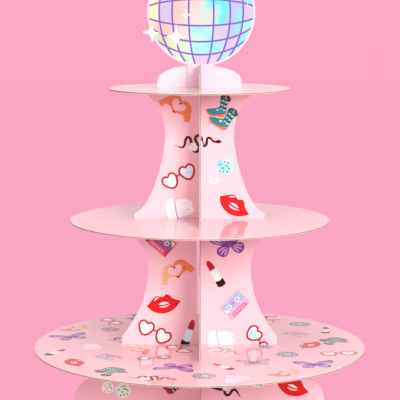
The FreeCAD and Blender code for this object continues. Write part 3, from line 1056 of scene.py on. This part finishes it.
def ball_artwork(sparkles):
    """The card's whole print: a violet circle, the foil tiles on it and the sparkles."""
    layers = [patch(VIOLET, 1, disc(BALL_PRINT, knots=24))]
    for row, plan in enumerate(TILE_PLAN):
        for column, kind in enumerate(plan):
            layers.append(ball_tile(column, row, TILE_FOILS[kind]))
    layers += [sparkle(*place) for place in sparkles]
    return motif(*layers)


# Each sparkle's place from the ball's centre, its half width and its half height.
SPARKLES = [
    (-22.2, -21.7, 9.0, 13.4), (-13.2, -2.7, 5.0, 6.0), (-43.3, -18.6, 8.0, 7.8),
    (41.0, 16.6, 8.8, 13.0),
]
ARTWORK["ball_front"] = ball_artwork(SPARKLES)
ARTWORK["ball_back"] = ball_artwork([(-x, y, width, height) for x, y, width, height in SPARKLES])
print_face("topper", "front", [("ball_front", BALL_X, BALL_UP, 0)], plate_top)
print_face("topper", "back", [("ball_back", -BALL_X, BALL_UP, 0)], plate_top)

# ---- Table, light and camera ----
# The stand is on a pink paper sweep in front of a pink wall. One large soft lamp lights it from
# the right of the camera, a weak one from the left and a third from above.
BACKDROP = (0.98, 0.386, 0.558, 1)
SWEEP_GLOW = 0.97           # keeps the sweep as bright as the wall
FLOOR_BOUNCE = (0.72, 0.38, 0.43, 1)
ROOM_BOUNCE = (0.63, 0.44, 0.47, 1)
ROOM_GLEAM = (0.96, 0.70, 0.76, 1)
FLOOR_REACH = 6.0           # half the sweep's width
LAMP_AIM = Vector((0, 0, 0.18))
SENSOR_WIDTH = 36
LENS = 136.65
CAMERA_PLACE = (0.00045, -1.3569, 0.4072)
CAMERA_DIP = 0.1339         # how far the camera looks down, in radians


def one_or_other(tree, ray, otherwise, shown):
    """Shows one shader to a kind of light path, and another to the rest."""
    path = tree.nodes.new("ShaderNodeLightPath")
    choice = tree.nodes.new("ShaderNodeMixShader")
    tree.links.new(path.outputs[ray], choice.inputs["Fac"])
    tree.links.new(otherwise, choice.inputs[1])
    tree.links.new(shown, choice.inputs[2])
    return choice.outputs["Shader"]


def sweep_finish():
    """A paper sweep lit from behind, so that it stays as even as the wall."""
    material, tree, shader, place = new_finish("pink_sweep", 1.0, 0.0)
    cloud = mottle(tree, place, 0.6)
    stops = [(0.3, display(30, 22, 26)), (0.7, display(36, 26, 30))]
    tree.links.new(colours_along(tree, cloud, stops), shader.inputs["Base Color"])
    shader.inputs["Specular IOR Level"].default_value = 0.0
    shader.inputs["Emission Color"].default_value = BACKDROP
    shader.inputs["Emission Strength"].default_value = SWEEP_GLOW
    soft = tree.nodes.new("ShaderNodeEmission")
    soft.inputs["Color"].default_value = FLOOR_BOUNCE
    look = one_or_other(tree, "Is Camera Ray", soft.outputs["Emission"], shader.outputs["BSDF"])
    tree.links.new(look, tree.nodes["Material Output"].inputs["Surface"])
    return material


floor_form = bmesh.new()
bmesh.ops.create_grid(floor_form, x_segments=8, y_segments=8, size=FLOOR_REACH)
floor_mesh = as_mesh("floor", floor_form)
floor_mesh.materials.append(sweep_finish())
floor = in_scene("floor", floor_mesh)

world = bpy.data.worlds.new("pink_room")
world.use_nodes = True
room = world.node_tree
wall = room.nodes["Background"]
wall.inputs["Color"].default_value = BACKDROP
bounce = room.nodes.new("ShaderNodeBackground")
bounce.inputs["Color"].default_value = ROOM_BOUNCE
gleam = room.nodes.new("ShaderNodeBackground")
gleam.inputs["Color"].default_value = ROOM_GLEAM
unseen = one_or_other(room, "Is Glossy Ray", bounce.outputs["Background"], gleam.outputs["Background"])
look = one_or_other(room, "Is Camera Ray", unseen, wall.outputs["Background"])
room.links.new(look, room.nodes["World Output"].inputs["Surface"])
bpy.context.scene.world = world


def soft_lamp(name, azimuth, elevation, distance, size, power):
    """A square lamp that faces the middle of the stand."""
    lamp = bpy.data.lights.new(name, "AREA")
    lamp.size = size
    lamp.energy = power
    turn, rise = math.radians(azimuth), math.radians(elevation)
    away = Vector((math.sin(turn) * math.cos(rise), -math.cos(turn) * math.cos(rise), math.sin(rise)))
    holder = in_scene(name, lamp)
    holder.location = LAMP_AIM + away * distance
    holder.rotation_euler = away.to_track_quat("Z", "Y").to_euler()


soft_lamp("key_lamp", 26, 20, 1.9, 0.75, 27)
soft_lamp("fill_lamp", -42, 8, 2.2, 1.0, 5.5)
soft_lamp("top_lamp", 0, 70, 2.2, 0.8, 9)

camera_data = bpy.data.cameras.new("camera")
camera_data.sensor_width = SENSOR_WIDTH
camera_data.lens = LENS
camera = in_scene("camera", camera_data)
camera.location = CAMERA_PLACE
camera.rotation_euler = (math.pi / 2 - CAMERA_DIP, 0, 0)
bpy.context.scene.camera = camera
bpy.context.scene.view_settings.view_transform = "Standard"
